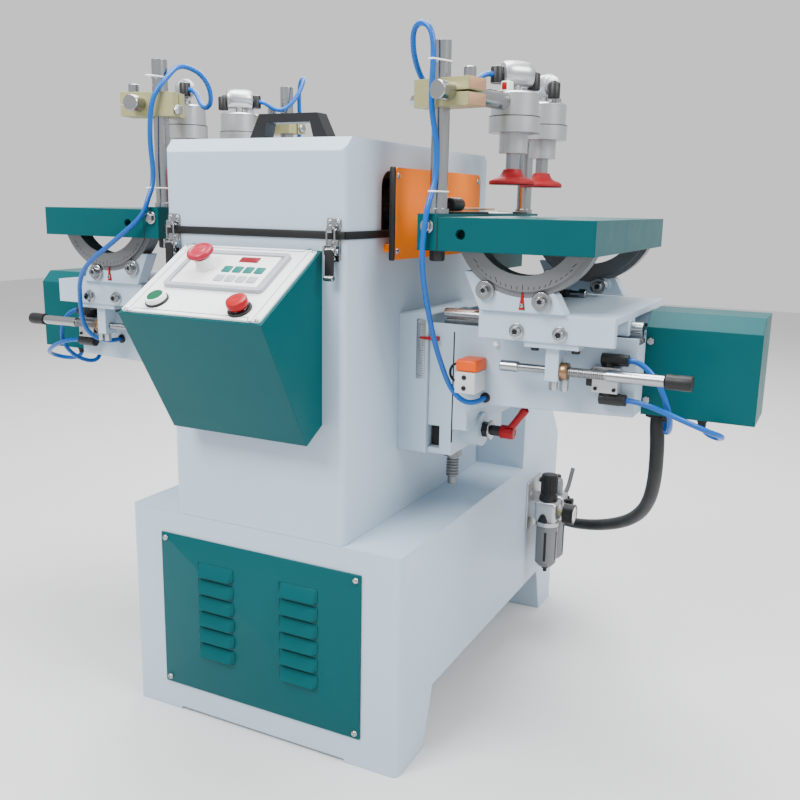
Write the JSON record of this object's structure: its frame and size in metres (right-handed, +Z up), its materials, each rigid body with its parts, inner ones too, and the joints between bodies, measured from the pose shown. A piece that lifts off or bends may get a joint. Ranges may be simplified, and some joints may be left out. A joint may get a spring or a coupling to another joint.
{
  "type": "tenoning machine",
  "caption": "Floor-standing tenoning machine: grey casing with lifting hood, sloping control box and mirrored tilting tables with air clamps",
  "frame": {"origin": "on the floor, under the middle of the part's box", "axes": "+X to the right-hand table, -Y out of the front, +Z up"},
  "size_m": [1.358, 0.9, 1.0855],
  "materials": {
    "casing_paint": "light grey satin enamel",
    "teal_paint": "teal satin enamel",
    "panel_plate": "white printed sheet",
    "grey_plastic": "moulded grey",
    "red_plastic": "glossy red",
    "green_plastic": "glossy green",
    "black_plastic": "moulded black",
    "black_rubber": "matt black",
    "orange_guard": "orange sheet",
    "bright_steel": "ground and plated",
    "cast_alloy": "satin",
    "motor_paint": "dark grey enamel",
    "brass_plate": "yellow plated",
    "red_pad": "red",
    "blue_tube": "blue"
  },
  "bodies": {
    "base": {"pedestal": "casing_paint", "column": "casing_paint", "louvre_panel": "teal_paint", "control_box": "teal_paint", "control_plate": "panel_plate", "counter_unit": "grey_plastic", "seal": "black_rubber", "guards": "orange_guard", "latch_bases": "bright_steel", "slide_ways": "casing_paint", "air_unit": "cast_alloy", "air_bowls": "grey_plastic", "conduit": "black_rubber", "spindle_motor": "motor_paint"},
    "hood": {"hood": "casing_paint", "hood_handle": "black_plastic"},
    "estop": {"estop_button": "red_plastic"},
    "start": {"start_button": "green_plastic"},
    "stop": {"stop_button": "red_plastic"},
    "latch_left": {"latch_lever_left": "bright_steel"},
    "latch_right": {"latch_lever_right": "bright_steel"},
    "spindle": {"cutter_spindle": "bright_steel"},
    "arm_left": {"arm_left": "casing_paint", "guide_rails_left": "bright_steel", "end_cover_left": "teal_paint", "air_valve_left": "cast_alloy", "limit_switch_left": "grey_plastic"},
    "lock_left": {"lock_lever_left": "red_plastic"},
    "screw_left": {"lifting_screw_left": "bright_steel"},
    "carriage_left": {"carriage_left": "casing_paint", "cradles_left": "casing_paint"},
    "stop_rod_left": {"stop_rod_left": "bright_steel"},
    "table_left": {"table_left": "teal_paint", "fence_left": "teal_paint", "segments_left": "bright_steel", "posts_left": "bright_steel", "clamp_blocks_left": "brass_plate", "cylinders_left": "cast_alloy", "air_tubes_left": "blue_tube"},
    "front_pad_left": {"front_pad_left": "red_pad"},
    "rear_pad_left": {"rear_pad_left": "red_pad"},
    "arm_right": {"arm_right": "casing_paint", "guide_rails_right": "bright_steel", "end_cover_right": "teal_paint", "air_valve_right": "cast_alloy", "limit_switch_right": "grey_plastic"},
    "lock_right": {"lock_lever_right": "red_plastic"},
    "screw_right": {"lifting_screw_right": "bright_steel"},
    "carriage_right": {"carriage_right": "casing_paint", "cradles_right": "casing_paint"},
    "stop_rod_right": {"stop_rod_right": "bright_steel"},
    "table_right": {"table_right": "teal_paint", "fence_right": "teal_paint", "segments_right": "bright_steel", "posts_right": "bright_steel", "clamp_blocks_right": "brass_plate", "cylinders_right": "cast_alloy", "air_tubes_right": "blue_tube"},
    "front_pad_right": {"front_pad_right": "red_pad"},
    "rear_pad_right": {"rear_pad_right": "red_pad"}
  },
  "joints": [
    {"name": "hood_open", "type": "hinge", "parent": "base", "child": "hood", "pos_m": [0, 0.2293, 0.805], "axis": [-1, 0, 0], "range_deg": [0, 75]},
    {"name": "cutter_spin", "type": "hinge", "parent": "base", "child": "spindle", "pos_m": [0, -0.0455, 0.845], "axis": [1, 0, 0], "continuous": true},
    {"name": "estop_press", "type": "slide", "parent": "base", "child": "estop", "axis": [0, 0.5136, -0.858], "range_m": [0, 0.004], "stiffness_N_per_m": 800, "springref_m": -0.003},
    {"name": "start_press", "type": "slide", "parent": "base", "child": "start", "axis": [0, 0.5136, -0.858], "range_m": [0, 0.004], "stiffness_N_per_m": 800, "springref_m": -0.003},
    {"name": "stop_press", "type": "slide", "parent": "base", "child": "stop", "axis": [0, 0.5136, -0.858], "range_m": [0, 0.004], "stiffness_N_per_m": 800, "springref_m": -0.003},
    {"name": "latch_left_open", "type": "hinge", "parent": "base", "child": "latch_left", "pos_m": [-0.139, -0.313, 0.78], "axis": [-1, 0, 0], "range_deg": [0, 100]},
    {"name": "arm_height_left", "type": "slide", "parent": "base", "child": "arm_left", "axis": [0, 0, 1], "range_m": [-0.045, 0.03]},
    {"name": "screw_turn_left", "type": "hinge", "parent": "arm_left", "child": "screw_left", "pos_m": [-0.22565, -0.0705, 0.42], "axis": [0, 0, 1], "range_deg": [-3250, 2170]},
    {"name": "lock_turn_left", "type": "hinge", "parent": "arm_left", "child": "lock_left", "pos_m": [-0.3, -0.067, 0.495], "axis": [1, 0, 0], "range_deg": [-40, 40]},
    {"name": "carriage_feed_left", "type": "slide", "parent": "arm_left", "child": "carriage_left", "axis": [-1, 0, 0], "range_m": [-0.035, 0.012], "deforming": ["air_tubes_left"]},
    {"name": "stop_rod_set_left", "type": "slide", "parent": "carriage_left", "child": "stop_rod_left", "axis": [-1, 0, 0], "range_m": [0, 0.03]},
    {"name": "table_tilt_left", "type": "hinge", "parent": "carriage_left", "child": "table_left", "pos_m": [-0.377, 0, 0.828], "axis": [0, -1, 0], "range_deg": [-5, 20], "deforming": ["air_tubes_left"]},
    {"name": "front_clamp_left", "type": "slide", "parent": "table_left", "child": "front_pad_left", "axis": [0, 0, -1], "range_m": [0, 0.04], "stiffness_N_per_m": 300, "springref_m": -0.03},
    {"name": "rear_clamp_left", "type": "slide", "parent": "table_left", "child": "rear_pad_left", "axis": [0, 0, -1], "range_m": [0, 0.04], "stiffness_N_per_m": 300, "springref_m": -0.03},
    {"name": "latch_right_open", "type": "hinge", "parent": "base", "child": "latch_right", "pos_m": [0.139, -0.313, 0.78], "axis": [-1, 0, 0], "range_deg": [0, 100]},
    {"name": "arm_height_right", "type": "slide", "parent": "base", "child": "arm_right", "axis": [0, 0, 1], "range_m": [-0.045, 0.03], "deforming": ["conduit"]},
    {"name": "screw_turn_right", "type": "hinge", "parent": "arm_right", "child": "screw_right", "pos_m": [0.22565, -0.0705, 0.42], "axis": [0, 0, 1], "range_deg": [-3250, 2170]},
    {"name": "lock_turn_right", "type": "hinge", "parent": "arm_right", "child": "lock_right", "pos_m": [0.3, -0.067, 0.495], "axis": [1, 0, 0], "range_deg": [-40, 40]},
    {"name": "carriage_feed_right", "type": "slide", "parent": "arm_right", "child": "carriage_right", "axis": [1, 0, 0], "range_m": [-0.035, 0.012], "deforming": ["air_tubes_right"]},
    {"name": "stop_rod_set_right", "type": "slide", "parent": "carriage_right", "child": "stop_rod_right", "axis": [1, 0, 0], "range_m": [0, 0.03]},
    {"name": "table_tilt_right", "type": "hinge", "parent": "carriage_right", "child": "table_right", "pos_m": [0.377, 0, 0.828], "axis": [0, 1, 0], "range_deg": [-5, 20], "deforming": ["air_tubes_right"]},
    {"name": "front_clamp_right", "type": "slide", "parent": "table_right", "child": "front_pad_right", "axis": [0, 0, -1], "range_m": [0, 0.04], "stiffness_N_per_m": 300, "springref_m": -0.03},
    {"name": "rear_clamp_right", "type": "slide", "parent": "table_right", "child": "rear_pad_right", "axis": [0, 0, -1], "range_m": [0, 0.04], "stiffness_N_per_m": 300, "springref_m": -0.03}
  ],
  "couplings": [
    {"joint": "screw_turn_left", "follows": "arm_height_left", "rad_per_m": 1256.6},
    {"joint": "screw_turn_right", "follows": "arm_height_right", "rad_per_m": 1256.6}
  ]
}
